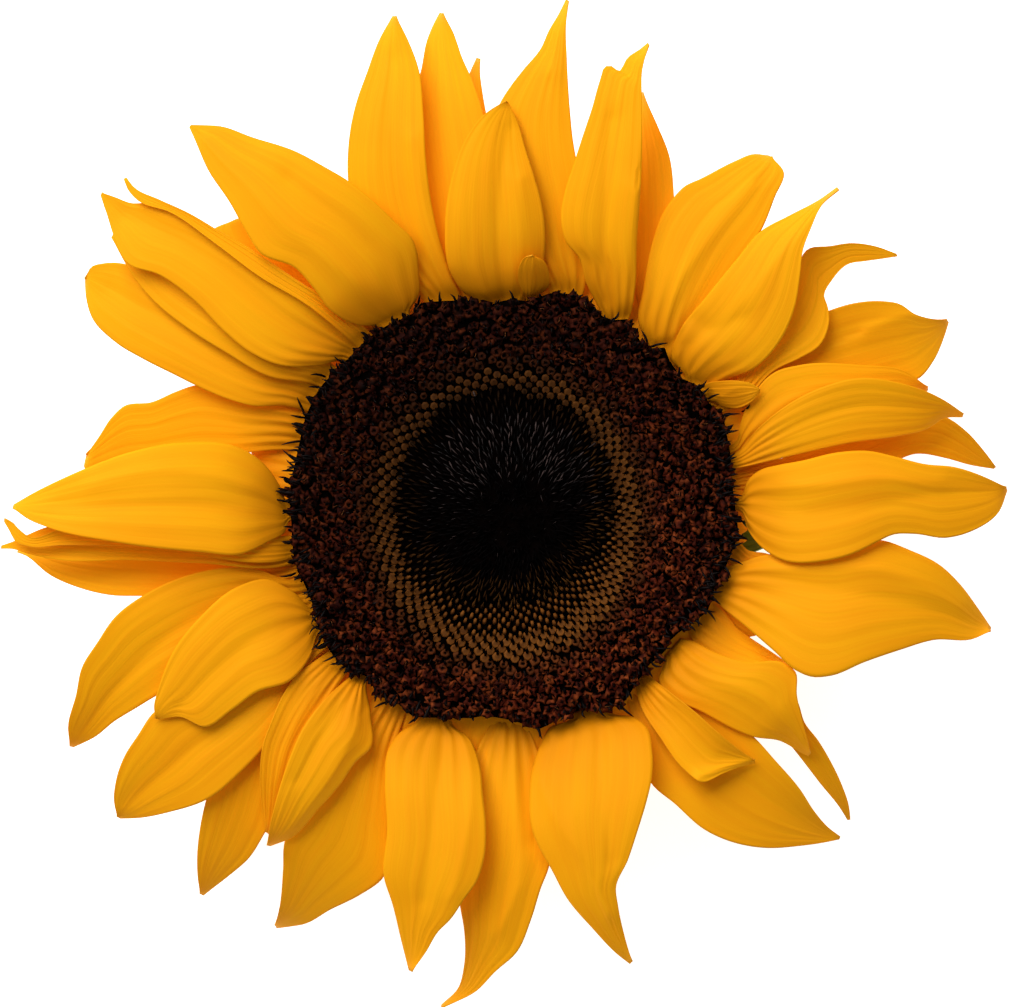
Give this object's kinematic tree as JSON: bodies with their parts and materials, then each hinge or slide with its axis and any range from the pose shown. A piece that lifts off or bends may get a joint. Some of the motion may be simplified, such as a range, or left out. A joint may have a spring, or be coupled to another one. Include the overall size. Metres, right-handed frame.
{
  "type": "sunflower head",
  "caption": "Open sunflower head with layered yellow petals round a dark disc, green bracts behind and a short cut stub; lies face up on the stub.",
  "frame": {"origin": "on the flower's axis, in the cut face of the stub that it rests on", "axes": "+Z out of the flower's face, +Y up the picture, +X right in the picture"},
  "size_m": [0.1612, 0.1622, 0.0331],
  "materials": {
    "petal": "soft satin petal, finely ribbed",
    "open_floret": "matt dark maroon",
    "floret_bud": "matt golden brown",
    "dark_bud": "satin black",
    "green": "matt leaf green"
  },
  "bodies": {
    "root": {"ray_petals": "petal", "outer_disc_florets": "open_floret", "ring_disc_florets": "floret_bud", "centre_disc_florets": "dark_bud", "receptacle_and_bracts": "green"}
  },
  "joints": []
}
